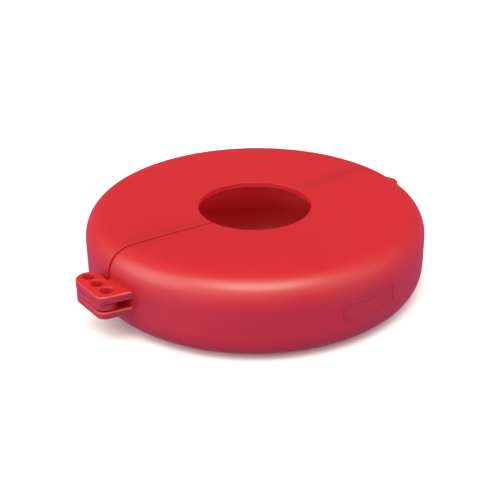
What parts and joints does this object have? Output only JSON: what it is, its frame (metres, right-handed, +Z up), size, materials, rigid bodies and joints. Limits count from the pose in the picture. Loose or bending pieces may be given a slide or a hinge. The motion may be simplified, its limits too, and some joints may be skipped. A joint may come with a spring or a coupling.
{
  "type": "gate valve lockout cover",
  "caption": "Hinged two-half handwheel cover that closes around a gate valve's handwheel, with a stem hole and an interleaved padlock hasp.",
  "frame": {"origin": "centre of the base: the ring's axis at the level of the surface that the cover rests on", "axes": "+Z up along the stem hole's axis, +X towards the hinge, -X towards the padlock hasp, -Y towards the half that carries the outer hasp tabs"},
  "size_m": [0.2266, 0.1954, 0.0453],
  "materials": {
    "red_polypropylene": "satin injection-moulded polypropylene",
    "rivet_steel": "bright zinc-plated steel",
    "washer_steel": "zinc-plated steel"
  },
  "bodies": {
    "rear": {"rear_shell": "red_polypropylene"},
    "front": {"front_shell": "red_polypropylene", "hinge_rivet": "rivet_steel", "rivet_washers": "washer_steel"}
  },
  "joints": [
    {"name": "clamshell_hinge", "type": "hinge", "parent": "rear", "child": "front", "pos_m": [0.1061, 0.0013, 0.02265], "axis": [0, 0, 1], "range_deg": [0, 180]}
  ]
}
